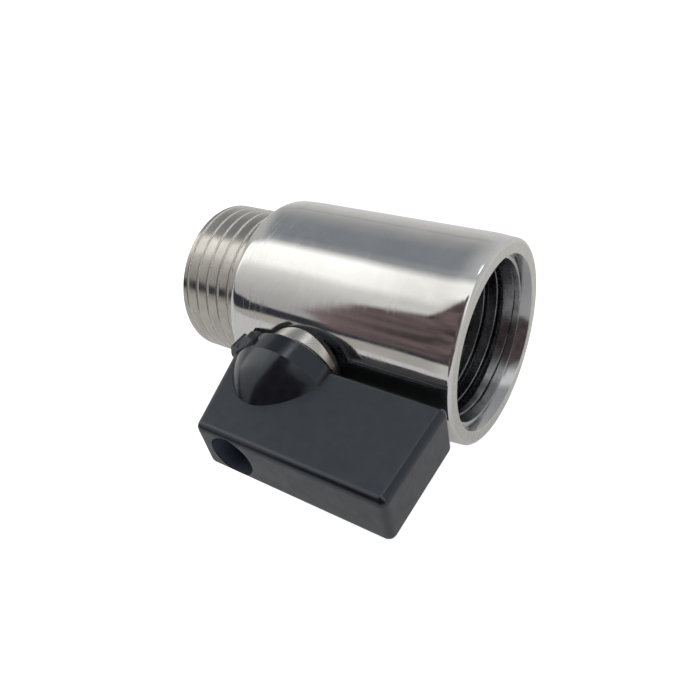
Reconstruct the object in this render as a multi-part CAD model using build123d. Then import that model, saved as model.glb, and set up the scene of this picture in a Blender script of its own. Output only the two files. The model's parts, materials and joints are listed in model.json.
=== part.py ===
from build123d import *
import math
import os

# Mini ball valve, pipe thread G 1/2, male one end and female the other, lever handle.
# Millimetres. Origin: centre of the female end face, on the pipe axis.
# +X runs along the pipe and out of the female end. The stem points to -Y, the lever
# lies along +X when the valve is open, +Z is up with the valve lying on its side.
# Every shape below is drawn about the ball's centre and shifted to that origin at the end.

CLEAR = 0.05  # assembly gap between pieces that touch in the real valve
RUN = 0.03  # running gap of a sliding fit

# Pipe thread G 1/2: 14 threads per inch
PITCH = 25.4 / 14
MAJOR_R = 20.955 / 2
MINOR_R = 18.631 / 2
CREST_DROP = 0.03  # the thread's crest stays this far below the plain land that ends it
THREAD_SINK = 0.1  # depth the thread ridge is rooted in its wall
MALE_START = 240.0  # angles about the pipe at which the threads start
FEMALE_START = 200.0

# Body
BODY_R = 12.7
FACE_X = 19.1  # female end face
SHOULDER_X = -12.5
SPIGOT_X = -22.9  # male end face
SHOULDER_FILLET = 1.6
FACE_FILLET = 0.4
SPIGOT_CHAMFER = 0.6
SPIGOT_BORE_R = 7.0
MALE_LAND = 1.5  # plain land between the male thread and the shoulder
RUN_OUT = 0.9  # length over which a thread runs out into its land
MOUTH_R = 10.7  # counterbore in front of the female thread
MOUTH_DEPTH = 1.4
MOUTH_CHAMFER = 0.35

# Ball and seats
BALL_R = 7.5
BORE_R = 4.5
SEAT_GAP = 0.03
SEAT_R = 8.0
SEAT_BORE_R = BORE_R + 0.1
SEAT_BACK_X = 7.0
SEAT_LIP_R = 7.0
SEAT_ANGLE = 52.0  # angle of the seat's contact normal from the pipe axis
CAVITY_R = SEAT_R + CLEAR
RETAINER_R = 8.9
RETAINER_LENGTH = 2.4
RETAINER_SLOT = 1.6
RETAINER_SLOT_DEPTH = 1.0
FEMALE_LAND = 1.5  # plain tapping-drill bore between the retainer and the female thread

# Stem and its seals; distances outward along the stem, from the ball's centre
STEM_R = 3.0
TONGUE_WIDTH = 2.4
TONGUE_LENGTH = 5.6
TONGUE_FOOT = 5.4
FLANGE_R = 4.0
FLANGE_FOOT = 8.15
FLANGE_TOP = 9.1
WASHER_THICK = 0.8
GROOVE_WIDTH = 1.1
GROOVE_R = 2.22
GROOVES_AT = (10.95, 12.35)
RING_SECTION = 0.78
RING_MID_R = 2.64
SQUARE_FOOT = 14.3
SQUARE = 4.0
STEM_TOP = 20.6
TAP_R = 1.25
TAP_FOOT = 15.4

# Neck boss round the stem, with the stop tab that the lever's lugs meet
BOSS_R = 5.6
BOSS_TOP = 13.4
STOP_INNER_R = 4.6
STOP_OUTER_R = 9.1
STOP_TOP = 13.8
STOP_ARC = 14.0
STOP_GAP = 0.4  # angle left between a lug and the stop at either end of the swing
STOP_ROUND = 0.4

# Lever handle
LEVER_FACE = 27.1  # outer face
LEVER_FOOT = 13.9  # face next to the body
LEVER_HALF = 3.35
LEVER_END_X = 19.9
LEVER_NOSE_X = -4.3
LEVER_HEEL_X = -8.7
LEVER_ROUND = 0.9
HUB_R = 6.95
HUB_FOOT = 13.95
HUB_SKIRT = 16.9
HUB_TIP_R = 2.75
HUB_TIP = 22.7
HUB_WAIST = (19.9, 5.35)  # a point on the hub's slightly domed cone
HUB_ROUND = 0.35
HUB_SETBACK = 0.6  # hub and neck boss stand this far off the stem, toward the lever's heel
LUG_INNER_R = 6.95
LUG_OUTER_R = 9.3
TOOTH_OUTER_R = 7.8  # the first lug is a lower tooth that never meets the stop
COLLAR_R = 8.2  # collar that joins the lugs
COLLAR_FOOT = 14.7
LUG_FOOT = 13.25
LUG_TOP = 15.6
LUG_START = 126.0
LUG_NOTCH_START = 141.0
LUG_NOTCH_END = 153.0
LUG_END = 170.0
CLOSED_LUG_ARC = 14.0
LUG_ROUND = 0.6
SWING = 90.0
SCREW_SEAT = 21.4
SCREW_HOLE_R = 2.8

# Handle screw (M3 socket cap) and its washer
HEAD_R = 2.7
HEAD_HEIGHT = 3.0
HEAD_SOCKET = 2.5  # across flats
HEAD_SOCKET_DEPTH = 1.5
SHANK_R = 1.2
SHANK_FOOT = 16.2
LOCK_WASHER_R = 2.65
LOCK_WASHER_THICK = 0.7


def turned_on_pipe(points):
    """Solid of revolution about the pipe axis from (x, radius) points."""
    return revolve(make_face(Plane.XY * Polyline(*points, close=True)), axis=Axis.X)


def turned_on_stem(points):
    """Solid of revolution about the stem from (distance outward, radius) points."""
    profile = [(radius, -out) for out, radius in points]
    return revolve(make_face(Plane.XY * Polyline(*profile, close=True)), axis=Axis.Y)


def pipe_rod(x0, x1, radius):
    return turned_on_pipe([(x0, 0), (x1, 0), (x1, radius), (x0, radius)])


def stem_rod(out0, out1, radius):
    return turned_on_stem([(out0, 0), (out1, 0), (out1, radius), (out0, radius)])


def stem_tube(out0, out1, inner, outer):
    return turned_on_stem([(out0, inner), (out1, inner), (out1, outer), (out0, outer)])


def stem_block(out0, out1, along_x, along_z):
    middle = Pos(0, -(out0 + out1) / 2, 0)
    return middle * Box(along_x, out1 - out0, along_z)


def stem_sector(out0, out1, inner, outer, start, end):
    """Part of a ring about the stem between two angles; 0 is +X and 90 is +Z."""
    reach = 2 * outer
    corners = [(0, 0)]
    steps = max(1, math.ceil((end - start) / 45))
    for i in range(steps + 1):
        angle = math.radians(start + (end - start) * i / steps)
        corners.append((reach * math.cos(angle), reach * math.sin(angle)))
    wedge = extrude(make_face(Plane.XY * Polyline(*corners, close=True)), out1 - out0)
    wedge = Pos(0, -out0, 0) * Rot(90, 0, 0) * wedge
    return stem_tube(out0, out1, inner, outer) & wedge


def rounded_outside(sector, radius):
    """The sector with its two outer upright edges rounded."""
    upright = sector.edges().filter_by(Axis.Y)
    distance = {edge: math.hypot(edge.center().X, edge.center().Z) for edge in upright}
    reach = max(distance.values())
    outer = [edge for edge in upright if distance[edge] > reach - 0.01]
    return fillet(outer, radius)


def thread_ridge(root_r, crest_r, length):
    """One right-hand helical thread about +Z, rooted a little inside the wall at root_r."""
    outward = 1 if crest_r > root_r else -1
    crest_half = PITCH / 12
    foot_half = PITCH / 2 - crest_half + THREAD_SINK * math.tan(math.radians(27.5))
    foot_r = root_r - outward * THREAD_SINK
    outline = Polyline(
        (foot_r, -foot_half),
        (crest_r, -crest_half),
        (crest_r, crest_half),
        (foot_r, foot_half),
        close=True,
    )
    path = Helix(PITCH, length, root_r)
    return sweep(make_face(Plane.XZ * outline), path=path, is_frenet=True)


def body_shell():
    """Turned outside of the body, without threads or bores."""
    barrel = pipe_rod(SHOULDER_X, FACE_X, BODY_R)
    shoulder = barrel.edges().group_by(Axis.X)[0]
    barrel = fillet(shoulder, SHOULDER_FILLET)
    rim = barrel.edges().group_by(Axis.X)[-1]
    barrel = fillet(rim, FACE_FILLET)
    land_x = SHOULDER_X - MALE_LAND
    spigot = turned_on_pipe(
        [
            (SPIGOT_X, 0),
            (SHOULDER_X + 1, 0),
            (SHOULDER_X + 1, MAJOR_R),
            (land_x, MAJOR_R),
            (land_x - RUN_OUT, MINOR_R),
            (SPIGOT_X, MINOR_R),
        ]
    )
    return barrel + spigot


def add_male_thread(body):
    """Helical G 1/2 thread on the spigot, its end cut to the spigot's chamfer."""
    start_x = SPIGOT_X - PITCH / 2
    length = SHOULDER_X - MALE_LAND - 0.3 - start_x
    ridge = thread_ridge(MINOR_R, MAJOR_R - CREST_DROP, length)
    ridge = Pos(start_x, 0, 0) * Rot(0, 90, 0) * Rot(0, 0, MALE_START) * ridge
    threaded = body + ridge
    flare = SPIGOT_CHAMFER + 0.4
    trim = turned_on_pipe(
        [
            (SPIGOT_X - 3, 0),
            (SPIGOT_X, 0),
            (SPIGOT_X, MAJOR_R - SPIGOT_CHAMFER),
            (SPIGOT_X + flare, MAJOR_R - SPIGOT_CHAMFER + flare),
            (SPIGOT_X + flare, MAJOR_R + 4),
            (SPIGOT_X - 3, MAJOR_R + 4),
        ]
    )
    return threaded - trim


def waterway():
    """Everything bored along the pipe axis, as one turned cutter."""
    pocket_x = SEAT_BACK_X + RETAINER_LENGTH
    land_x = pocket_x + FEMALE_LAND
    throat = SEAT_BACK_X + 3.2
    return turned_on_pipe(
        [
            (SPIGOT_X - 1, 0),
            (FACE_X + 1, 0),
            (FACE_X + 1, MAJOR_R),
            (land_x + RUN_OUT, MAJOR_R),
            (land_x, MINOR_R),
            (pocket_x, MINOR_R),
            (pocket_x, RETAINER_R + CLEAR),
            (SEAT_BACK_X, RETAINER_R + CLEAR),
            (SEAT_BACK_X, CAVITY_R),
            (-SEAT_BACK_X, CAVITY_R),
            (-SEAT_BACK_X, BORE_R),
            (-throat, BORE_R),
            (-throat - (SPIGOT_BORE_R - BORE_R), SPIGOT_BORE_R),
            (SPIGOT_X - 1, SPIGOT_BORE_R),
        ]
    )


def add_female_thread(body):
    """Helical G 1/2 thread in the mouth, faced off by the counterbore."""
    start_x = FACE_X + 0.1
    length = start_x - (SEAT_BACK_X + RETAINER_LENGTH + FEMALE_LAND) + PITCH / 2
    ridge = thread_ridge(MAJOR_R, MINOR_R + CREST_DROP, length)
    ridge = Pos(start_x, 0, 0) * Rot(0, -90, 0) * Rot(0, 0, FEMALE_START) * ridge
    threaded = body + ridge
    floor_x = FACE_X - MOUTH_DEPTH
    counterbore = turned_on_pipe(
        [
            (floor_x - 2, 0),
            (FACE_X + 2, 0),
            (FACE_X + 2, MOUTH_R),
            (floor_x, MOUTH_R),
            (floor_x, MINOR_R + MOUTH_CHAMFER),
            (floor_x - MOUTH_CHAMFER - 0.2, MINOR_R - 0.2),
            (floor_x - 2, MINOR_R - 0.2),
        ]
    )
    return threaded - counterbore


def boss():
    """Neck boss and the one tab that stops the lever's lugs, open and closed."""
    root = CAVITY_R + 1
    neck = Pos(-HUB_SETBACK, 0, 0) * stem_rod(root, BOSS_TOP, BOSS_R)
    start = LUG_END + STOP_GAP
    tab = stem_sector(root, STOP_TOP, STOP_INNER_R, STOP_OUTER_R, start, start + STOP_ARC)
    return neck + rounded_outside(tab, STOP_ROUND)


def stem_passage():
    """Bore for the stem and the pocket for its flange and thrust washer."""
    bore = stem_rod(CAVITY_R - 1, BOSS_TOP + 1, STEM_R + RUN)
    pocket = stem_rod(BALL_R - 1, FLANGE_TOP + WASHER_THICK, FLANGE_R + 4 * CLEAR)
    return bore + pocket


def make_body():
    threaded_outside = add_male_thread(body_shell())
    threaded = add_female_thread(threaded_outside - waterway())
    return threaded + boss() - stem_passage()


def make_ball():
    ball = Sphere(BALL_R) - pipe_rod(-BALL_R, BALL_R, BORE_R)
    slot = stem_block(
        TONGUE_FOOT - 0.2, BALL_R + 1, TONGUE_WIDTH + 2 * CLEAR, 2 * BALL_R
    )
    return ball - slot


def make_seat(side):
    """Sealing ring behind the ball; side is +1 at the female end, -1 at the male end."""
    normal_x = math.cos(math.radians(SEAT_ANGLE))
    normal_r = math.sin(math.radians(SEAT_ANGLE))
    reach = BALL_R + SEAT_GAP
    inner_x = (reach - normal_r * SEAT_BORE_R) / normal_x
    lip_x = (reach - normal_r * SEAT_LIP_R) / normal_x
    back_x = SEAT_BACK_X - RUN
    outline = [
        (inner_x, SEAT_BORE_R),
        (back_x, SEAT_BORE_R),
        (back_x, SEAT_R),
        (lip_x, SEAT_R),
        (lip_x, SEAT_LIP_R),
    ]
    return turned_on_pipe([(side * x, r) for x, r in outline])


def make_retainer():
    """Screwed ring that holds the female-side seat; two slots take the driver."""
    outer_x = SEAT_BACK_X + RETAINER_LENGTH
    inner_x = SEAT_BACK_X + CLEAR
    flare = 0.8
    ring = turned_on_pipe(
        [
            (inner_x, BORE_R + 0.1),
            (outer_x - flare, BORE_R + 0.1),
            (outer_x, BORE_R + 0.1 + flare),
            (outer_x, RETAINER_R - 0.3),
            (outer_x - 0.3, RETAINER_R),
            (inner_x, RETAINER_R),
        ]
    )
    slot = Pos(outer_x, 0, 0) * Box(
        2 * RETAINER_SLOT_DEPTH, 2 * RETAINER_R + 2, RETAINER_SLOT
    )
    return ring - slot


def make_stem():
    shaft = stem_rod(FLANGE_FOOT, SQUARE_FOOT, STEM_R)
    flange = stem_rod(FLANGE_FOOT, FLANGE_TOP, FLANGE_R)
    tongue = stem_block(TONGUE_FOOT, FLANGE_FOOT + 0.5, TONGUE_WIDTH, TONGUE_LENGTH)
    square = stem_block(SQUARE_FOOT, STEM_TOP, SQUARE, SQUARE)
    stem = shaft + flange + tongue + square
    for middle in GROOVES_AT:
        half = GROOVE_WIDTH / 2
        stem = stem - stem_tube(middle - half, middle + half, GROOVE_R, STEM_R + 1)
    return stem - stem_rod(TAP_FOOT, STEM_TOP + 1, TAP_R)


def make_o_ring(middle):
    section = Pos(RING_MID_R, -middle, 0) * Circle(RING_SECTION / 2)
    return revolve(section, axis=Axis.Y)


def make_thrust_washer():
    foot = FLANGE_TOP + RUN
    top = FLANGE_TOP + WASHER_THICK - RUN
    return stem_tube(foot, top, STEM_R + CLEAR, FLANGE_R)


def lever_blade():
    """Flat lever, longer on the +X side, with a slanted nose over the hub."""
    outline = Polyline(
        (LEVER_HEEL_X, -LEVER_FOOT),
        (LEVER_END_X, -LEVER_FOOT),
        (LEVER_END_X, -LEVER_FACE),
        (LEVER_NOSE_X, -LEVER_FACE),
        close=True,
    )
    blade = extrude(make_face(Plane.XY * outline), LEVER_HALF, both=True)
    return fillet(blade.edges(), LEVER_ROUND)


def hub():
    """Round hub: a short skirt, then a slightly domed cone that dies into the blade."""
    waist_out, waist_r = HUB_WAIST
    outline = [
        Line((0, -HUB_TIP), (0, -HUB_FOOT)),
        Line((0, -HUB_FOOT), (HUB_R - HUB_ROUND, -HUB_FOOT)),
        Line((HUB_R - HUB_ROUND, -HUB_FOOT), (HUB_R, -HUB_FOOT - HUB_ROUND)),
        Line((HUB_R, -HUB_FOOT - HUB_ROUND), (HUB_R, -HUB_SKIRT)),
        ThreePointArc((HUB_R, -HUB_SKIRT), (waist_r, -waist_out), (HUB_TIP_R, -HUB_TIP)),
        Line((HUB_TIP_R, -HUB_TIP), (0, -HUB_TIP)),
    ]
    cone = Pos(-HUB_SETBACK, 0, 0) * revolve(make_face(outline), axis=Axis.Y)
    closed_lug = LUG_END + STOP_ARC + 2 * STOP_GAP + SWING
    lugs = [
        (LUG_START, LUG_NOTCH_START, HUB_FOOT, TOOTH_OUTER_R),
        (LUG_NOTCH_END, LUG_END, LUG_FOOT, LUG_OUTER_R),
        (closed_lug, closed_lug + CLOSED_LUG_ARC, LUG_FOOT, LUG_OUTER_R),
    ]
    collar = stem_sector(COLLAR_FOOT, LUG_TOP, HUB_R - 1, COLLAR_R, LUG_START, LUG_END)
    solid = cone + collar
    for start, end, foot, outer in lugs:
        lug = stem_sector(foot, LUG_TOP, HUB_R - 1, outer, start, end)
        solid = solid + rounded_outside(lug, LUG_ROUND)
    return solid - stem_rod(LUG_FOOT - 1, HUB_FOOT, LUG_INNER_R)


def make_handle():
    solid = lever_blade() + hub()
    socket = stem_block(LEVER_FOOT - 1, STEM_TOP + 0.2, SQUARE + 0.1, SQUARE + 0.1)
    relief = stem_rod(LEVER_FOOT - 1, SQUARE_FOOT + 0.3, STEM_R + 0.3)
    web_hole = stem_rod(STEM_TOP - 1, SCREW_SEAT + 1, SHANK_R + 0.3)
    screw_hole = stem_rod(SCREW_SEAT, LEVER_FACE + 1, SCREW_HOLE_R)
    return solid - socket - relief - web_hole - screw_hole


def make_screw():
    under_head = SCREW_SEAT + LOCK_WASHER_THICK + RUN
    top = under_head + HEAD_HEIGHT
    round_off = 0.3
    screw = turned_on_stem(
        [
            (SHANK_FOOT, 0),
            (SHANK_FOOT, SHANK_R - round_off),
            (SHANK_FOOT + round_off, SHANK_R),
            (under_head, SHANK_R),
            (under_head, HEAD_R),
            (top - round_off, HEAD_R),
            (top, HEAD_R - round_off),
            (top, 0),
        ]
    )
    hexagon = RegularPolygon(HEAD_SOCKET / 2, 6, major_radius=False)
    cutter = Rot(90, 0, 0) * extrude(hexagon, HEAD_SOCKET_DEPTH + 1)
    return screw - Pos(0, -(top - HEAD_SOCKET_DEPTH), 0) * cutter


def make_lock_washer():
    """Split spring washer under the screw's head."""
    foot = SCREW_SEAT + RUN
    ring = stem_tube(foot, foot + LOCK_WASHER_THICK - RUN, SHANK_R + 0.2, LOCK_WASHER_R)
    gap = Pos(LOCK_WASHER_R, -foot, 0) * Rot(0, 0, 25) * Box(4, 4, 0.5)
    return ring - Pos(-0.2, 0, 0) * gap


def save(name, shape):
    shape = Pos(-FACE_X, 0, 0) * shape
    shape.label = name
    export_step(shape, f"parts/{name}.step")


os.makedirs("parts", exist_ok=True)
save("valve_body", make_body())
save("ball", make_ball())
save("seat_ring_female_side", make_seat(1))
save("seat_ring_male_side", make_seat(-1))
save("seat_retainer", make_retainer())
save("stem", make_stem())
save("stem_thrust_washer", make_thrust_washer())
save("stem_o_ring_lower", make_o_ring(GROOVES_AT[0]))
save("stem_o_ring_upper", make_o_ring(GROOVES_AT[1]))
save("handle", make_handle())
save("handle_screw", make_screw())
save("handle_screw_washer", make_lock_washer())
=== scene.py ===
import json
import math

import bmesh
import bpy
import numpy as np
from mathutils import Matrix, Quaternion, Vector


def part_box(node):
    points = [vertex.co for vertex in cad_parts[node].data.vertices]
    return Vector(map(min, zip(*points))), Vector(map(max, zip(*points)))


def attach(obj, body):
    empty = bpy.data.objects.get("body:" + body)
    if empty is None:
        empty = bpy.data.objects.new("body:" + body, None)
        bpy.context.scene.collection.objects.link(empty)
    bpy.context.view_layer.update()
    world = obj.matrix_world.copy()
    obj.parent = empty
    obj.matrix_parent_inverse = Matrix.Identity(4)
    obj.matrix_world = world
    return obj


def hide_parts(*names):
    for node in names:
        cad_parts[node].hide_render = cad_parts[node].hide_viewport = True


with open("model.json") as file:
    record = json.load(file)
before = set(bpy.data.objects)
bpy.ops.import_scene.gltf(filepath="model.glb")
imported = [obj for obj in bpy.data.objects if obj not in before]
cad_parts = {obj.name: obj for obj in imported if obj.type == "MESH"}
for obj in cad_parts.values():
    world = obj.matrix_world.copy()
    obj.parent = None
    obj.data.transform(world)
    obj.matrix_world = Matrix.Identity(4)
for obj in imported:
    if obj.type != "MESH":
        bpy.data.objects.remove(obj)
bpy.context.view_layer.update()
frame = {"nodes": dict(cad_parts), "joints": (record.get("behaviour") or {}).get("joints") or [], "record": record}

MM = 0.001
MOUNTS = {m["name"]: m for m in frame["record"]["mounts"]}
LEVER_TURN = frame["joints"][0]

# The valve's driving sizes, in millimetres, from the frame
BODY_LOW, BODY_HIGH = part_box("valve_body")
FACE_X = BODY_HIGH.x / MM
TAIL_X = BODY_LOW.x / MM
BARREL_R = BODY_HIGH.z / MM
STEM_X = LEVER_TURN["pos_m"][0] / MM
MAJOR_R = MOUNTS["male_thread"]["dims"]["r_mm"]
MINOR_R = MOUNTS["female_thread"]["dims"]["r_mm"]
LAND = MOUNTS["male_thread"]["dims"]["length_mm"]
SHOULDER_X = MOUNTS["male_thread"]["pos_m"][0] / MM + LAND / 2
FEMALE_LAND_X = MOUNTS["female_thread"]["pos_m"][0] / MM - LAND / 2

# Pipe thread: flanks at 55 degrees, wide flat crests, narrow grooves and rounded edges
PITCH = 25.4 / 14
FLANK = math.tan(math.radians(27.5))
THREAD_ROUND = 0.14  # how wide the rounding is where a flank meets a crest or a root
MALE_FLAT = 0.68  # half-width of the flat crests
FEMALE_FLAT = 0.60
MALE_CREST = (STEM_X - 17.0, math.radians(131))  # a place one crest passes: x and angle
FEMALE_CREST = (STEM_X + 15.85, math.radians(300))
THREAD_STEPS = 30  # rows of the mesh in one pitch
RUN_OUT = 0.9  # beside a plain land the grooves reach full depth over this length

# Turned details of the body
SHOULDER_FILLET = 1.6
SHOULDER_EDGE = 85.0  # angle the rounded corner turns through before the barrel begins
FACE_FILLET = 0.55
FACE_EDGE = 62.0
FACE_ROLL = (3.6, 0.20)  # length and fall of the barrel where the polishing wheel ran off its end
SHOULDER_ROLL = (2.8, 0.12)
SPIGOT_CHAMFER = 0.6
MOUTH_R = 10.7
MOUTH_DEPTH = 1.4
MOUTH_FOOT_R = 10.38  # the counterbore narrows to this where it meets the ledge
LEDGE_R = 10.0  # where the ledge in the mouth meets the thread's lead-in
LEAD_IN = 0.34  # slope of the lead-in
RETAINER_POCKET = (8.95, 2.4)  # radius and depth, from the end of the female land
CAVITY_R = 8.05
CAVITY_HALF = 7.0
BORE_R = 4.5
THROAT = 3.2
SPIGOT_BORE_R = 7.0
MOUTH_CHAMFER = 0.08
BORE_CHAMFER = 0.3

# How finely the body is meshed
SEGMENTS = 256
STEM_SEGMENTS = 160
TAB_STEPS = 8
FILLET_STEPS = 10
ROLL_STEPS = 14
MERGE = 1e-6  # metres; points closer than this are one point
ROUND_WITHIN = 1e-7  # metres; a point this near a turned radius is on it
ROUND_FACING = 0.9  # cosine; a face this close to the radius belongs to the round
SHARP_ANGLE = 32  # degrees; an edge that folds more than this stays sharp

# Neck boss, its stop tab and the stem's passage; distances outward from the pipe axis
BOSS_R = 5.6
BOSS_SETBACK = 0.6  # from the stem, toward the male end
BOSS_ROOT = 9.05
BOSS_TOP = 13.4
BOSS_CHAMFER = 0.25
TAB_TOP = 13.8
TAB_RADII = (4.6, 9.1)
TAB_ANGLES = (170.4, 184.4)  # degrees from +X toward +Z
STEM_BORE_R = 3.035
PASSAGE_FOOT = 6.0  # inside the ball's cavity, where the cut for the stem starts
FLANGE_POCKET = (4.2, 9.9)  # radius, distance outward

BLADE_HALF = 3.35  # half-thickness of the lever's blade
HOLE_R = 2.8  # the lever's screw hole
HOLE_MOUTH_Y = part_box("handle")[0].y / MM + 0.05  # just behind the lever's outer face

# Colours of the pieces; a pair runs from the darker tone to the paler one
POLISHED = ((0.625, 0.62, 0.605), (0.69, 0.685, 0.672))
MALE_CRESTS = ((0.41, 0.395, 0.36), (0.50, 0.485, 0.45))
# painted highlight: the grooves' steel is paler than real steel
MALE_GROOVES_PAINTED_HIGHLIGHT = ((0.80, 0.78, 0.74), (1.0, 0.99, 0.96))
SATIN_BLACK = ((0.026, 0.032, 0.041), (0.035, 0.041, 0.050))
GLOSSY_BLACK = ((0.0022, 0.0042, 0.0085), (0.0036, 0.0062, 0.0115))
# painted light inside the lever's screw hole, paler and bluer than the plastic
HOLE_PAINTED_LIGHT = (0.085, 0.105, 0.145)
OUTER_FACE_PAINTED_SHADE = (0.62, 0.57, 0.52)  # painted shade, multiplied in on the blade's faces that aren't its sides
RUBBER = ((0.010, 0.010, 0.010), (0.022, 0.022, 0.022))
PTFE = ((0.78, 0.78, 0.75), (0.88, 0.88, 0.86))
PLATED = ((0.10, 0.10, 0.105), (0.17, 0.17, 0.18))
PAPER = ((0.89, 0.89, 0.885), (0.91, 0.91, 0.905))

FLOOR_Z = -20.6  # just under the reach of the closed lever
FLOOR_REACH = 3.0  # metres
PAPER_GLOW = 0.14
PAPER_GLOW_SEEN = 0.58  # added where the camera sees the paper directly

# The studio, which only the valve and the floor see. An angle is in degrees about the pipe: 0 in
# front, 90 overhead, 180 behind, negative below. A place along the pipe is the x part of a
# direction: 0 is abreast of the valve, -1 straight out past its male end.
STRIPS = [
    (0, (0.50, 0.48, 0.445)),
    (20, (0.47, 0.465, 0.46)),
    (34, (0.56, 0.56, 0.555)),
    (50, (0.72, 0.72, 0.71)),
    (62, (0.92, 0.915, 0.90)),
    (72, (1.45, 1.43, 1.38)),
    (93, (1.65, 1.63, 1.58)),
    (103, (0.40, 0.42, 0.45)),
    (112, (0.28, 0.30, 0.33)),
    (135, (0.29, 0.31, 0.34)),
    (150, (0.40, 0.405, 0.41)),
    (162, (0.53, 0.53, 0.525)),
    (165, (0.46, 0.46, 0.455)),
    (168, (0.57, 0.57, 0.56)),
    (180, (0.68, 0.68, 0.665)),
]
END_STRIPS = [
    (0, (0.66, 0.65, 0.62)),
    (70, (0.62, 0.62, 0.61)),
    (80, (1.70, 1.70, 1.66)),
    (96, (1.70, 1.70, 1.66)),
    (104, (0.55, 0.56, 0.58)),
    (180, (0.72, 0.72, 0.71)),
]
END_STRIPS_FROM = (-0.36, -0.20)  # where END_STRIPS take over from STRIPS
PANEL_EDGES = ((55.0, 66.0), (99.0, 106.0))
PANEL_DIM = 0.24  # how much dimmer the overhead panel is from DIM_FROM on
DIM_FROM = (-0.53, -0.43)
FAR_END = (-0.72, -0.66)  # past this there are plain walls, one high and one low
FAR_HIGH = ((96.0, 104.0), (0.58, 0.575, 0.56))  # the angles it begins at, its colour
FAR_LOW = ((-12.0, 8.0), (0.44, 0.42, 0.39))
GAP_ANGLE = 14.2  # a thin dark gap between the wall and the table in front
GAP_NARROWS = (-0.76, -0.57)
GAP_HALVES = (8.5, 4.2)  # half its width before and after it narrows
GAP_COLOUR = (0.04, 0.042, 0.052)
STAND_CLIMB = (-0.45, 70.0)  # a place on the climbing part of its top, and degrees per unit
STAND_TOP = (54.5, 61.5)  # angle of its top there, and where it levels off
STAND_STEP = ((-0.37, -0.12), 24.0)  # where its top steps up, and by how much
STAND_FOOT = ((-0.10, 0.20), -12.0)  # where its foot drops from the gap, and to what angle
STAND_LEFT = (-0.585, -0.555)
STAND_POINT = (27.0, 0.0025)  # angle of its left point, and how fast the edge draws back
STAND_RIGHT = ((55.0, 72.0), (0.86, 0.20))  # between these angles its right edge leans in
CLOTH = ((0.07, 0.055, 0.058), (0.20, 0.145, 0.148))  # what the stand is covered with
CLOTH_TIP = (0.27, 0.20, 0.205)
LAMP_COLOUR = (3.2, 3.15, 3.4)
LAMP_ALONG = ((-0.20, -0.10), (-0.06, 0.02))
LAMP_AROUND = ((108.0, 113.0), (119.0, 124.0))

# The photograph's viewpoint: angles in degrees, lengths in millimetres
CAMERA_AZIMUTH = 41.51
CAMERA_ELEVATION = 40.67
CAMERA_ROLL = -13.37
CAMERA_AIM = (-19.104, -4.176, -3.765)
CAMERA_DISTANCE = 88.0
CAMERA_LENS = 34.27
CAMERA_SENSOR = 36.0
CAMERA_NEAR = 5.0


# ---------------------------------------------------------------- node helpers


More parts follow.
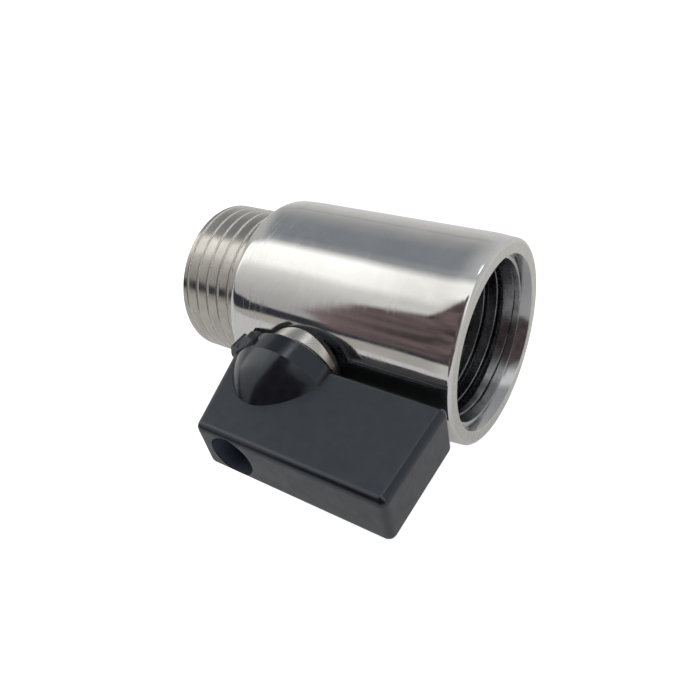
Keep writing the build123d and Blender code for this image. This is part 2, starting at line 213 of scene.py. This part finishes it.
class Nodes:
    """Short calls for building one node tree."""

    def __init__(self, tree):
        self.tree = tree
        self.tree.nodes.clear()

    def add(self, kind, **settings):
        node = self.tree.nodes.new(kind)
        for name, value in settings.items():
            setattr(node, name, value)
        return node

    def put(self, node, name, value):
        """Sets or links an input, given by its name or by its number."""
        socket = node.inputs[int(name)] if name.isdigit() else node.inputs[name]
        if isinstance(value, bpy.types.NodeSocket):
            self.tree.links.new(value, socket)
        else:
            socket.default_value = value

    def math(self, operation, first, second=0.0):
        node = self.add("ShaderNodeMath", operation=operation)
        for place, value in enumerate((first, second)):
            self.put(node, str(place), value)
        return node.outputs[0]

    def plus(self, first, second):
        return self.math("ADD", first, second)

    def minus(self, first, second):
        return self.math("SUBTRACT", first, second)

    def times(self, first, *others):
        for other in others:
            first = self.math("MULTIPLY", first, other)
        return first

    def noise(self, vector, scale, detail, roughness, distortion=0.0):
        node = self.add("ShaderNodeTexNoise")
        for name, value in (
            ("Vector", vector),
            ("Scale", scale),
            ("Detail", detail),
            ("Roughness", roughness),
            ("Distortion", distortion),
        ):
            self.put(node, name, value)
        return node.outputs["Fac"]

    def stretched_noise(self, coordinates, scales, detail, roughness):
        """Noise with a scale of its own along each of three coordinates."""
        scaled = [self.times(value, scale) for value, scale in zip(coordinates, scales)]
        return self.noise(self.combine(*scaled), 1.0, detail, roughness)

    def remap(self, value, low_in, high_in, low_out, high_out):
        node = self.add("ShaderNodeMapRange", interpolation_type="SMOOTHSTEP")
        for place, number in enumerate((value, low_in, high_in, low_out, high_out)):
            self.put(node, str(place), number)
        return node.outputs[0]

    def rise(self, value, low, high):
        """0 up to low, 1 from high on."""
        return self.remap(value, low, high, 0.0, 1.0)

    def fall(self, value, low, high):
        """1 up to low, 0 from high on."""
        return self.remap(value, low, high, 1.0, 0.0)

    def within(self, value, rise, fall):
        """1 between a rising edge and a falling edge."""
        return self.times(self.rise(value, *rise), self.fall(value, *fall))

    def ramp(self, value, stops):
        node = self.add("ShaderNodeValToRGB")
        self.put(node, "Fac", value)
        elements = node.color_ramp.elements
        while len(elements) < len(stops):
            elements.new(1.0)
        for element, (place, colour) in zip(elements, stops):
            element.position = place
            element.color = (*colour, 1.0)
        return node.outputs["Color"]

    def tones(self, value, low, high, pair):
        """The pair's first colour up to low, its second from high on."""
        return self.ramp(value, [(low, pair[0]), (high, pair[1])])

    def mix(self, factor, first, second, blend="MIX"):
        node = self.add("ShaderNodeMix", data_type="RGBA", blend_type=blend)
        self.put(node, "0", factor)
        for name, value in (("6", first), ("7", second)):
            self.put(node, name, (*value, 1.0) if isinstance(value, tuple) else value)
        return node.outputs[2]

    def bump(self, height, strength, depth_mm, normal=None):
        node = self.add("ShaderNodeBump")
        self.put(node, "Height", height)
        self.put(node, "Strength", strength)
        self.put(node, "Distance", depth_mm * MM)
        if normal is not None:
            self.put(node, "Normal", normal)
        return node.outputs[0]

    def local(self):
        """The piece's own coordinates in metres, so that a pattern moves with its piece."""
        return self.add("ShaderNodeTexCoord").outputs["Object"]

    def local_mm(self):
        node = self.add("ShaderNodeVectorMath", operation="SCALE")
        self.put(node, "0", self.local())
        self.put(node, "Scale", 1 / MM)
        return node.outputs[0]

    def pipe_coordinates(self):
        """x along the pipe, angle about it in radians, radius from it, and the place they give.
        Lengths are in millimetres."""
        place = self.local_mm()
        x, y, z = self.split(place)
        return x, self.math("ARCTAN2", z, y), self.length(y, z), place

    def length(self, first, second):
        square = self.plus(self.times(first, first), self.times(second, second))
        return self.math("SQRT", square)

    def split(self, vector):
        node = self.add("ShaderNodeSeparateXYZ")
        self.put(node, "0", vector)
        return list(node.outputs)

    def combine(self, x, y, z):
        node = self.add("ShaderNodeCombineXYZ")
        for place, value in enumerate((x, y, z)):
            self.put(node, str(place), value)
        return node.outputs[0]


def new_material(name, hidden_from_behind=False):
    """A node material, its Nodes and its shader. Its back can be clear to the camera."""
    material = bpy.data.materials.new(name)
    material.use_nodes = True
    n = Nodes(material.node_tree)
    shader = n.add("ShaderNodeBsdfPrincipled")
    out = n.add("ShaderNodeOutputMaterial")
    surface = shader.outputs[0]
    if hidden_from_behind:
        seen = n.add("ShaderNodeLightPath").outputs["Is Camera Ray"]
        behind = n.add("ShaderNodeNewGeometry").outputs["Backfacing"]
        blend = n.add("ShaderNodeMixShader")
        n.put(blend, "0", n.times(seen, behind))
        n.put(blend, "1", surface)
        n.put(blend, "2", n.add("ShaderNodeBsdfTransparent").outputs[0])
        surface = blend.outputs[0]
    n.put(out, "Surface", surface)
    return material, n, shader


# ---------------------------------------------------------------- materials


def polished_steel():
    """Mirror-polished stainless: streaks round the barrel, coarser where it meets the shoulder."""
    material, n, shader = new_material("polished_steel")
    x, angle, radius, place = n.pipe_coordinates()
    pipe = (x, n.times(angle, BARREL_R), radius)
    streaks = n.stretched_noise(pipe, (5.0, 0.22, 1.0), detail=3.0, roughness=0.6)
    buff = n.stretched_noise(pipe, (1.6, 0.12, 1.0), detail=4.0, roughness=0.6)
    wave = n.stretched_noise(pipe, (0.10, 0.2, 1.0), detail=1.0, roughness=0.4)
    smudge = n.noise(place, scale=0.30, detail=4.0, roughness=0.6, distortion=0.5)
    near_shoulder = n.remap(x, SHOULDER_X, SHOULDER_X + 11.0, 1.0, 0.12)
    coarse = n.times(n.remap(streaks, 0.50, 0.72, 0.0, 0.30), near_shoulder)
    haze = n.plus(n.remap(smudge, 0.42, 0.75, 0.0, 0.06), n.remap(buff, 0.35, 0.7, 0.045, 0.085))
    n.put(shader, "Base Color", n.tones(smudge, 0.3, 0.7, POLISHED))
    n.put(shader, "Metallic", 1.0)
    n.put(shader, "Roughness", n.plus(coarse, haze))
    normal = n.bump(wave, strength=0.6, depth_mm=0.05)
    normal = n.bump(buff, strength=0.3, depth_mm=0.004, normal=normal)
    normal = n.bump(streaks, strength=0.3, depth_mm=0.002, normal=normal)
    n.put(shader, "Normal", normal)
    return material


def turned_steel(name, base, rough, ridge_mm, depth, lines=0.14):
    """Satin stainless with the fine rings a lathe tool leaves. ridge_mm and depth are their
    spacing and depth in millimetres, and lines is the share by which they darken the base."""
    material, n, shader = new_material(name)
    x, angle, radius, place = n.pipe_coordinates()
    along = n.plus(x, radius)
    rings = n.noise(n.combine(along, 0.0, 0.0), scale=1 / ridge_mm, detail=3.0, roughness=0.6)
    chatter = n.noise(n.combine(n.times(angle, 9.0), along, 0.0), scale=1.1, detail=3.0, roughness=0.5)
    stain = n.noise(place, scale=0.6, detail=4.0, roughness=0.6)
    dark = tuple(c * (1 - lines) for c in base)
    tone = n.plus(n.times(stain, 0.5), n.times(rings, 0.5))
    n.put(shader, "Base Color", n.tones(tone, 0.36, 0.64, (dark, base)))
    n.put(shader, "Metallic", 1.0)
    n.put(shader, "Roughness", n.remap(chatter, 0.3, 0.7, rough * 0.85, rough * 1.15))
    normal = n.bump(rings, strength=0.5, depth_mm=depth)
    normal = n.bump(chatter, strength=0.3, depth_mm=depth, normal=normal)
    n.put(shader, "Normal", normal)
    return material


def male_thread_steel():
    """Polished crests with torn grooves cut between them; the grooves' pale, near-white tone is a painted
    highlight.
    """
    material, n, shader = new_material("male_thread_steel")
    x, angle, radius, place = n.pipe_coordinates()
    in_groove = n.fall(radius, MAJOR_R - 0.16, MAJOR_R - 0.03)
    streaks = n.stretched_noise((x, angle, radius), (4.0, 2.6, 1.0), detail=3.0, roughness=0.6)
    torn = n.stretched_noise((x, angle, radius), (3.0, 30.0, 1.0), detail=4.0, roughness=0.7)
    stain = n.noise(place, scale=0.6, detail=4.0, roughness=0.6)
    crest = n.tones(stain, 0.3, 0.7, MALE_CRESTS)
    # painted highlight in the grooves
    groove_highlight = n.tones(torn, 0.3, 0.7, MALE_GROOVES_PAINTED_HIGHLIGHT)
    n.put(shader, "Base Color", n.mix(in_groove, crest, groove_highlight))
    n.put(shader, "Metallic", 1.0)
    smooth = n.remap(streaks, 0.3, 0.7, 0.13, 0.21)
    n.put(shader, "Roughness", n.plus(smooth, n.times(in_groove, 0.35)))
    relief = n.plus(streaks, n.times(torn, in_groove))
    n.put(shader, "Normal", n.bump(relief, strength=0.3, depth_mm=0.002))
    return material


def flat_of_blade(n, z, facing):
    """1 on the blade's flat faces, where the normal lies along an axis."""
    on_blade = n.fall(n.math("ABSOLUTE", z), BLADE_HALF, BLADE_HALF + 0.15)
    flattest = n.math("MAXIMUM", n.math("MAXIMUM", facing[0], facing[1]), facing[2])
    return n.times(on_blade, n.rise(flattest, 0.95, 0.995))


def inside_hole(n, x, y, z):
    """1 inside the lever's screw hole, from just behind its mouth."""
    near_stem = n.fall(n.length(n.minus(x, STEM_X), z), HOLE_R + 0.02, HOLE_R + 0.1)
    return n.times(near_stem, n.rise(y, HOLE_MOUTH_Y, HOLE_MOUTH_Y + 0.1))


def moulded_plastic():
    """Black moulded plastic: satin on the lever's flat faces, glossy on its hub and edges, with painted shade on
    the blade's outer and end faces and painted light inside its screw hole.
    """
    material, n, shader = new_material("moulded_plastic")
    place = n.local_mm()
    x, y, z = n.split(place)
    across = n.add("ShaderNodeVectorMath", operation="ABSOLUTE")
    n.put(across, "0", n.add("ShaderNodeTexCoord").outputs["Normal"])
    facing = n.split(across.outputs[0])
    flat = flat_of_blade(n, z, facing)
    grain = n.noise(place, scale=5.5, detail=3.0, roughness=0.6)
    ripple = n.noise(place, scale=0.30, detail=3.0, roughness=0.5)
    rub = n.noise(place, scale=0.55, detail=5.0, roughness=0.65, distortion=0.8)
    side_satin = n.tones(rub, 0.3, 0.72, SATIN_BLACK)
    # painted shade: the outer and end faces are darkened from the side faces' satin
    shaded_outer_satin = n.mix(1.0, side_satin, OUTER_FACE_PAINTED_SHADE, "MULTIPLY")
    satin = n.mix(n.rise(facing[2], 0.5, 0.9), shaded_outer_satin, side_satin)
    glossy = n.tones(rub, 0.3, 0.72, GLOSSY_BLACK)
    # inside the screw hole the colour is a painted light
    colour = n.mix(inside_hole(n, x, y, z), n.mix(flat, glossy, satin), HOLE_PAINTED_LIGHT)
    satin_rough = n.times(flat, n.remap(rub, 0.3, 0.75, 0.36, 0.48))
    glossy_rough = n.times(n.minus(1.0, flat), n.remap(rub, 0.3, 0.75, 0.14, 0.22))
    n.put(shader, "Base Color", colour)
    n.put(shader, "Roughness", n.plus(satin_rough, glossy_rough))
    n.put(shader, "IOR", 1.5)
    n.put(shader, "Specular IOR Level", 0.72)
    n.put(shader, "Specular Tint", (0.86, 0.93, 1.0, 1.0))
    normal = n.bump(ripple, strength=0.4, depth_mm=0.06)
    normal = n.bump(n.times(grain, flat), strength=0.35, depth_mm=0.006, normal=normal)
    n.put(shader, "Normal", normal)
    return material


def speckled(name, per_metre, detail, pair, roughness, strength):
    """A plain material with fine speckles; returned with its Nodes and its shader."""
    material, n, shader = new_material(name)
    speck = n.noise(n.local(), per_metre, detail, roughness=0.6)
    n.put(shader, "Base Color", n.tones(speck, 0.3, 0.7, pair))
    n.put(shader, "Roughness", n.remap(speck, 0.3, 0.7, *roughness))
    n.put(shader, "Normal", n.bump(speck, strength, depth_mm=0.01))
    return material, n, shader


def rubber():
    material, _, _ = speckled("o_ring_rubber", 3000.0, 3.0, RUBBER, (0.5, 0.7), 0.3)
    return material


def ptfe():
    material, n, shader = speckled("ptfe", 900.0, 4.0, PTFE, (0.38, 0.52), 0.2)
    n.put(shader, "Subsurface Weight", 0.1)
    n.put(shader, "Subsurface Scale", 0.001)
    return material


def plated_screw():
    material, n, shader = speckled("plated_screw", 2500.0, 4.0, PLATED, (0.35, 0.5), 0.2)
    n.put(shader, "Metallic", 1.0)
    return material


# ---------------------------------------------------------------- body mesh


def soft_min(a, b, width):
    """The lesser of two values, rounded where they come within width of each other."""
    gap = np.maximum(width - np.abs(a - b), 0.0) / width
    return np.minimum(a, b) - gap * gap * width / 4


def thread_offset(x, angles, crest):
    """Axial distance from the nearest crest at each x and angle."""
    crest_x, crest_angle = crest
    lead = PITCH * (angles - crest_angle) / (2 * math.pi)
    return (x - crest_x - lead + PITCH / 2) % PITCH - PITCH / 2


def male_thread(x, angles):
    """Radius at each x and angle: flat crest, straight flanks and root, with rounded edges."""
    offset = np.maximum(np.abs(thread_offset(x, angles, MALE_CREST)) - MALE_FLAT, 0.0)
    sharp = MAJOR_R + THREAD_ROUND / 4 - offset / FLANK
    rounded = soft_min(sharp, MAJOR_R, THREAD_ROUND)
    return -soft_min(-rounded, -MINOR_R, THREAD_ROUND)


def female_thread(x, angles):
    offset = np.maximum(np.abs(thread_offset(x, angles, FEMALE_CREST)) - FEMALE_FLAT, 0.0)
    sharp = MINOR_R - THREAD_ROUND / 4 + offset / FLANK
    rounded = -soft_min(-sharp, -MINOR_R, THREAD_ROUND)
    return soft_min(rounded, MAJOR_R, THREAD_ROUND)


def rolled_end(end_x, side, fillet, edge, length, fall):
    """From an end of the barrel inward: its rounded corner, up to the edge's angle from the end
    face, then the slight fall beside it."""
    edge = math.radians(edge)
    centre_x = end_x - side * fillet
    centre_r = BARREL_R - fall - fillet * math.sin(edge)
    corner_x = centre_x + side * fillet * math.cos(edge)
    rows = []
    for i in range(FILLET_STEPS):
        turn = edge * i / FILLET_STEPS
        rows.append((centre_x + side * fillet * math.cos(turn), centre_r + fillet * math.sin(turn)))
    for i in range(ROLL_STEPS + 1):
        share = i / ROLL_STEPS
        rows.append((corner_x - side * length * share, BARREL_R - fall * (1 - share) ** 2))
    return rows


def helical_rows(start_x, end_x, angles):
    """x at every angle for rows that follow the thread, held between two end planes."""
    low, high = min(start_x, end_x), max(start_x, end_x)
    step = PITCH / THREAD_STEPS
    count = math.ceil((high - low) / step) + THREAD_STEPS
    lead = PITCH * angles / (2 * math.pi)
    rows = [np.clip(high - i * step + lead, low, high) for i in range(count + 1)]
    return rows if start_x > end_x else rows[::-1]


def spigot_radius(x, angles):
    """The male thread, with a plain land by the shoulder and a chamfer at the tail."""
    run_out = MAJOR_R - np.maximum(0.0, SHOULDER_X - LAND - x) * (MAJOR_R - MINOR_R) / RUN_OUT
    chamfer = MAJOR_R - SPIGOT_CHAMFER + (x - TAIL_X)
    return np.minimum(np.maximum(male_thread(x, angles), run_out), chamfer)


def mouth_radius(x, angles):
    """The female thread, with a plain land at its inner end and a lead-in at the ledge."""
    run_out = MINOR_R + np.maximum(0.0, x - FEMALE_LAND_X - LAND) * (MAJOR_R - MINOR_R) / RUN_OUT
    lead_in = LEDGE_R - LEAD_IN * (FACE_X - MOUTH_DEPTH - x)
    return np.maximum(np.minimum(female_thread(x, angles), run_out), lead_in)


def body_rows(angles):
    """Rings of the body's closed outline: x and radius at every angle, and the finish after it."""
    rows = []

    def ring(x, radius, finish):
        spread = [np.broadcast_to(value, angles.shape).astype(float) for value in (x, radius)]
        rows.append((*spread, finish))

    mouth_x = FACE_X - MOUTH_DEPTH
    ring(mouth_x, LEDGE_R, "ledge")
    ring(mouth_x, MOUTH_FOOT_R, "mouth")
    ring(FACE_X - MOUTH_CHAMFER, MOUTH_R, "turned")
    ring(FACE_X, MOUTH_R + MOUTH_CHAMFER, "turned")
    for x, r in rolled_end(FACE_X, 1, FACE_FILLET, FACE_EDGE, *FACE_ROLL):
        ring(x, r, "polished")
    for x, r in reversed(rolled_end(SHOULDER_X, -1, SHOULDER_FILLET, SHOULDER_EDGE, *SHOULDER_ROLL)):
        ring(x, r, "polished")
    ring(SHOULDER_X, MAJOR_R, "male")
    for x in helical_rows(SHOULDER_X - LAND, TAIL_X, angles):
        ring(x, spigot_radius(x, angles), "male")
    tail_x, tail_r, _ = rows.pop()
    ring(tail_x, tail_r, "turned")
    ring(TAIL_X, SPIGOT_BORE_R + BORE_CHAMFER, "bore")
    ring(TAIL_X + BORE_CHAMFER, SPIGOT_BORE_R, "bore")
    throat_x = STEM_X - CAVITY_HALF - THROAT
    ring(throat_x - (SPIGOT_BORE_R - BORE_R), SPIGOT_BORE_R, "bore")
    ring(throat_x, BORE_R, "bore")
    ring(STEM_X - CAVITY_HALF, BORE_R, "bore")
    ring(STEM_X - CAVITY_HALF, CAVITY_R, "bore")
    pocket_r, pocket_depth = RETAINER_POCKET
    pocket_x = FEMALE_LAND_X - pocket_depth
    ring(pocket_x, CAVITY_R, "bore")
    ring(pocket_x, pocket_r, "bore")
    ring(FEMALE_LAND_X, pocket_r, "bore")
    ring(FEMALE_LAND_X, MINOR_R, "female")
    for x in helical_rows(FEMALE_LAND_X + LAND, mouth_x, angles):
        ring(x, mouth_radius(x, angles), "female")
    return rows


def rings_to_mesh(name, rows, angles, finishes):
    """Closed mesh from rings about the pipe axis; the last ring joins the first."""
    mesh = bpy.data.meshes.new(name)
    count = len(angles)
    points = []
    for x, radii, _ in rows:
        points.extend(zip(x * MM, radii * np.cos(angles) * MM, radii * np.sin(angles) * MM))
    faces = []
    slots = []
    for i, (_, _, finish) in enumerate(rows):
        here, there = i * count, ((i + 1) % len(rows)) * count
        for j in range(count - 1):
            faces.append((here + j, here + j + 1, there + j + 1, there + j))
            slots.append(finishes.index(finish))
    mesh.from_pydata(points, [], faces)
    mesh.polygons.foreach_set("material_index", slots)
    build = bmesh.new()
    build.from_mesh(mesh)
    bmesh.ops.remove_doubles(build, verts=build.verts, dist=MERGE)
    bmesh.ops.dissolve_degenerate(build, edges=build.edges, dist=MERGE)
    build.to_mesh(mesh)
    build.free()
    mesh.update()
    return mesh


def object_from(mesh, name):
    thing = bpy.data.objects.new(name, mesh)
    bpy.context.scene.collection.objects.link(thing)
    return thing


def object_from_build(build, name):
    mesh = bpy.data.meshes.new(name)
    build.to_mesh(mesh)
    build.free()
    return object_from(mesh, name)


def about_stem(centre_x, out, radius, angle):
    """A point in metres; an angle of 0 is +X and a quarter turn is +Z."""
    x = centre_x + radius * math.cos(angle)
    return x * MM, -out * MM, radius * math.sin(angle) * MM


def stem_lathe(name, outline, centre_x=STEM_X):
    """Closed solid about the stem from (distance outward, radius) points, in millimetres."""
    build = bmesh.new()
    rings = []
    for out, radius in outline:
        count = STEM_SEGMENTS if radius > 0 else 1
        angles = [2 * math.pi * j / STEM_SEGMENTS for j in range(count)]
        rings.append([build.verts.new(about_stem(centre_x, out, radius, a)) for a in angles])
    for low, high in zip(rings, rings[1:]):
        for j in range(STEM_SEGMENTS):
            k = j + 1
            corners = [low[j % len(low)], low[k % len(low)], high[k % len(high)], high[j % len(high)]]
            build.faces.new(list(dict.fromkeys(corners)))
    bmesh.ops.recalc_face_normals(build, faces=build.faces)
    return object_from_build(build, name)


def stem_sector(name, outs, radii, ends):
    """Block of a ring about the stem; outs and radii in millimetres, ends in degrees."""
    start, end = ends
    angles = [math.radians(start + (end - start) * i / TAB_STEPS) for i in range(TAB_STEPS + 1)]
    inner, outer = radii
    outline = [(inner, a) for a in angles] + [(outer, a) for a in reversed(angles)]
    build = bmesh.new()
    low, high = [
        [build.verts.new(about_stem(STEM_X, out, radius, a)) for radius, a in outline] for out in outs
    ]
    build.faces.new(low)
    build.faces.new(high)
    for j in range(len(outline)):
        k = (j + 1) % len(outline)
        build.faces.new((low[j], low[k], high[k], high[j]))
    bmesh.ops.recalc_face_normals(build, faces=build.faces)
    return object_from_build(build, name)


def cut_or_join(target, tool, operation):
    step = target.modifiers.new(operation, "BOOLEAN")
    step.object = tool
    step.operation = operation
    step.solver = "EXACT"


def bake_modifiers(thing, helpers):
    """Replaces the object's mesh by what its modifiers make, and deletes the helpers."""
    evaluated = thing.evaluated_get(bpy.context.evaluated_depsgraph_get())
    mesh = bpy.data.meshes.new_from_object(evaluated)
    thing.modifiers.clear()
    thing.data = mesh
    for helper in helpers:
        bpy.data.objects.remove(helper)


def is_at_radius(radial, turned_r):
    return abs(radial.length - turned_r * MM) < ROUND_WITHIN


def set_round_normals(mesh):
    """Exact round shading on the barrel and the threads' lands, whatever faces meet them."""
    normals = [corner.vector.copy() for corner in mesh.corner_normals]
    for face in mesh.polygons:
        for index in face.loop_indices:
            point = mesh.vertices[mesh.loops[index].vertex_index].co
            radial = Vector((0.0, point.y, point.z))
            outward = radial.normalized()
            facing = face.normal.dot(outward)
            on_spigot = point.x < SHOULDER_X * MM and is_at_radius(radial, MAJOR_R)
            if facing > ROUND_FACING and (on_spigot or is_at_radius(radial, BARREL_R)):
                normals[index] = outward
            elif facing < -ROUND_FACING and is_at_radius(radial, MINOR_R):
                normals[index] = -outward
    mesh.normals_split_custom_set(normals)


def make_boss():
    """The neck boss, with a narrow chamfer at its top."""
    foot = [(BOSS_ROOT, 0), (BOSS_ROOT, BOSS_R)]
    top = [(BOSS_TOP - BOSS_CHAMFER, BOSS_R), (BOSS_TOP, BOSS_R - BOSS_CHAMFER), (BOSS_TOP, 0)]
    return stem_lathe("boss", foot + top, STEM_X - BOSS_SETBACK)


def make_passage():
    """The room for the stem: a pocket for its flange, then its bore."""
    pocket_r, pocket_out = FLANGE_POCKET
    above = BOSS_TOP + 1
    pocket = [(PASSAGE_FOOT, 0), (PASSAGE_FOOT, pocket_r), (pocket_out, pocket_r)]
    bore = [(pocket_out, STEM_BORE_R), (above, STEM_BORE_R), (above, 0)]
    return stem_lathe("passage", pocket + bore)


def make_body(finishes):
    """The turned body with its boss and stop tab, and the stem's passage cut through them."""
    names = list(finishes)
    angles = np.linspace(0, 2 * math.pi, SEGMENTS + 1)
    mesh = rings_to_mesh("valve_body_turned", body_rows(angles), angles, names)
    body = object_from(mesh, "valve_body_turned")
    boss = make_boss()
    tab = stem_sector("tab", (BOSS_ROOT, TAB_TOP), TAB_RADII, TAB_ANGLES)
    passage = make_passage()
    for thing in (body, boss, tab, passage):
        for material in finishes.values():
            thing.data.materials.append(material)
    for tool, operation in ((boss, "UNION"), (tab, "UNION"), (passage, "DIFFERENCE")):
        faces = tool.data.polygons
        faces.foreach_set("material_index", [names.index("boss")] * len(faces))
        cut_or_join(body, tool, operation)
    bake_modifiers(body, (boss, tab, passage))
    body.data.shade_smooth()
    body.data.set_sharp_from_angle(angle=math.radians(SHARP_ANGLE))
    set_round_normals(body.data)
    return body


# ---------------------------------------------------------------- stage


def studio_walls(n, along, around):
    """Grey walls and table in strips round the pipe, and a long bright panel overhead."""
    share = n.math("DIVIDE", around, 180.0)
    strips = n.ramp(share, [(angle / 180, colour) for angle, colour in STRIPS])
    end_strips = n.ramp(share, [(angle / 180, colour) for angle, colour in END_STRIPS])
    walls = n.mix(n.rise(along, *END_STRIPS_FROM), strips, end_strips)
    dim = n.times(n.within(around, *PANEL_EDGES), n.rise(along, *DIM_FROM), PANEL_DIM)
    walls = n.mix(dim, walls, (0.0, 0.0, 0.0))
    far_end = n.fall(along, *FAR_END)
    high_span, high_colour = FAR_HIGH
    walls = n.mix(n.times(far_end, n.rise(around, *high_span)), walls, high_colour)
    low_span, low_colour = FAR_LOW
    return n.mix(n.times(far_end, n.fall(around, *low_span)), walls, low_colour)


def gap_mask(n, along, around):
    """A thin dark gap in front, wider toward the male end."""
    half = n.remap(along, *GAP_NARROWS, *GAP_HALVES)
    from_middle = n.math("ABSOLUTE", n.minus(around, GAP_ANGLE))
    return n.fall(n.minus(from_middle, half), -1.2, 1.2)


def stand_mask(n, along, around):
    """A dark stand in front, with soft edges. Its top climbs, levels off and steps up. Its foot
    drops below the gap toward the female end. Its left edge comes to a blunt point."""
    climb_from, slope = STAND_CLIMB
    low_top, high_top = STAND_TOP
    step_span, step = STAND_STEP
    climb = n.plus(low_top, n.times(n.minus(along, climb_from), slope))
    top = n.plus(n.math("MINIMUM", climb, high_top), n.remap(along, *step_span, 0.0, step))
    under_top = n.fall(n.minus(around, top), -4.0, 1.5)
    foot_span, lowest = STAND_FOOT
    foot = n.remap(along, *foot_span, GAP_ANGLE, lowest)
    above_foot = n.rise(n.minus(around, foot), -2.5, 2.5)
    point, draw_back = STAND_POINT
    back = n.times(n.math("ABSOLUTE", n.minus(around, point)), draw_back)
    past_left = n.rise(n.minus(along, back), *STAND_LEFT)
    lean_span, places = STAND_RIGHT
    right = n.remap(around, *lean_span, *places)
    before_right = n.fall(n.minus(along, right), -0.08, 0.12)
    return n.times(under_top, above_foot, past_left, before_right)


def cloth_colour(n, along, around):
    """Dark cloth in soft folds, paler at the stand's left point."""
    folds = n.stretched_noise((around, along, 0.0), (0.11, 3.0, 1.0), detail=2.0, roughness=0.5)
    cloth = n.tones(folds, 0.35, 0.65, CLOTH)
    return n.mix(n.remap(along, -0.57, -0.46, 0.55, 0.0), cloth, CLOTH_TIP)


def make_world():
    """A soft studio for the valve and the floor; the camera itself sees plain white."""
    world = bpy.data.worlds.new("studio")
    bpy.context.scene.world = world
    world.use_nodes = True
    n = Nodes(world.node_tree)
    along, dy, dz = n.split(n.add("ShaderNodeTexCoord").outputs["Generated"])
    around = n.times(n.math("ARCTAN2", dz, n.times(dy, -1.0)), 180 / math.pi)
    sky = studio_walls(n, along, around)
    sky = n.mix(gap_mask(n, along, around), sky, GAP_COLOUR)
    sky = n.mix(stand_mask(n, along, around), sky, cloth_colour(n, along, around))
    lamp = n.times(n.within(along, *LAMP_ALONG), n.within(around, *LAMP_AROUND))
    sky = n.mix(lamp, sky, LAMP_COLOUR)
    back = n.add("ShaderNodeBackground")
    seen = n.add("ShaderNodeLightPath").outputs["Is Camera Ray"]
    n.put(back, "Color", n.mix(seen, sky, (1.0, 1.0, 1.0)))
    n.put(back, "Strength", 1.0)
    out = n.add("ShaderNodeOutputWorld")
    n.put(out, "Surface", back.outputs[0])


def make_floor():
    """White paper, brighter for the camera than for what it lights, and clear from below."""
    build = bmesh.new()
    corners = [(-1, -1), (1, -1), (1, 1), (-1, 1)]
    points = [(x * FLOOR_REACH, y * FLOOR_REACH, FLOOR_Z * MM) for x, y in corners]
    build.faces.new([build.verts.new(point) for point in points])
    floor = object_from_build(build, "floor")
    material, n, shader = new_material("floor_paper", hidden_from_behind=True)
    cloud = n.noise(n.local(), scale=20.0, detail=3.0, roughness=0.5)
    n.put(shader, "Base Color", n.tones(cloud, 0.3, 0.7, PAPER))
    n.put(shader, "Roughness", 0.9)
    n.put(shader, "Specular IOR Level", 0.1)
    n.put(shader, "Emission Color", (1.0, 1.0, 1.0, 1.0))
    seen = n.add("ShaderNodeLightPath").outputs["Is Camera Ray"]
    n.put(shader, "Emission Strength", n.plus(n.times(seen, PAPER_GLOW_SEEN), PAPER_GLOW))
    floor.data.materials.append(material)


def make_camera():
    """The photograph's viewpoint: off the female end, above the pipe and in front of it."""
    data = bpy.data.cameras.new("camera")
    data.lens = CAMERA_LENS
    data.sensor_width = CAMERA_SENSOR
    data.clip_start = CAMERA_NEAR * MM
    camera = bpy.data.objects.new("camera", data)
    bpy.context.scene.collection.objects.link(camera)
    azimuth = math.radians(CAMERA_AZIMUTH)
    elevation = math.radians(CAMERA_ELEVATION)
    roll = math.radians(CAMERA_ROLL)
    level = Vector((math.sin(azimuth), -math.cos(azimuth), 0.0))
    back = level * math.cos(elevation) + Vector((0.0, 0.0, math.sin(elevation)))
    aim = Vector(CAMERA_AIM) * MM
    turn = back.to_track_quat("Z", "Y") @ Quaternion((0, 0, 1), roll)
    camera.rotation_mode = "QUATERNION"
    camera.rotation_quaternion = turn
    camera.location = aim + back * (CAMERA_DISTANCE * MM)
    bpy.context.scene.camera = camera


# ---------------------------------------------------------------- assembly

BODY_FINISHES = {
    "polished": polished_steel(),
    "turned": turned_steel("turned_face", (0.63, 0.62, 0.575), 0.30, 0.10, 0.003),
    # painted light: the ledge is given a paler copy of the turned steel
    "ledge": turned_steel("turned_ledge", (0.84, 0.83, 0.80), 0.34, 0.06, 0.0015),
    # painted shade: the counterbore wall is given a darker copy of the turned steel
    "mouth": turned_steel("turned_mouth", (0.42, 0.425, 0.435), 0.16, 0.12, 0.002),
    "male": male_thread_steel(),
    # painted shade: the female thread inside the mouth is given a much darker copy of the steel
    "female": turned_steel("female_thread_steel", (0.28, 0.285, 0.30), 0.26, 0.16, 0.004, 0.6),
    "bore": turned_steel("bore_steel", (0.45, 0.45, 0.45), 0.3, 0.15, 0.004),
    "boss": turned_steel("boss_steel", (0.64, 0.62, 0.575), 0.27, 0.3, 0.002),
}
body = make_body(BODY_FINISHES)
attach(body, "valve")
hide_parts("valve_body")

NODE_MATERIALS = {
    "ball": turned_steel("ball_steel", (0.68, 0.68, 0.68), 0.08, 0.4, 0.001),
    "seat_retainer": turned_steel("retainer_steel", (0.5, 0.5, 0.5), 0.28, 0.12, 0.003),
    "stem": turned_steel("stem_steel", (0.55, 0.55, 0.54), 0.25, 0.12, 0.003),
    "seat_ring_female_side": ptfe(),
    "stem_o_ring_lower": rubber(),
    "handle": moulded_plastic(),
    "handle_screw": plated_screw(),
}
SAME_AS = {
    "seat_ring_male_side": "seat_ring_female_side",
    "stem_thrust_washer": "seat_ring_female_side",
    "stem_o_ring_upper": "stem_o_ring_lower",
    "handle_screw_washer": "handle_screw",
}
for name, node in frame["nodes"].items():
    if name == "valve_body":
        continue
    material = NODE_MATERIALS[SAME_AS.get(name, name)]
    node.data.materials.clear()
    node.data.materials.append(material)

make_world()
make_floor()
make_camera()
bpy.context.scene.view_settings.view_transform = "Standard"
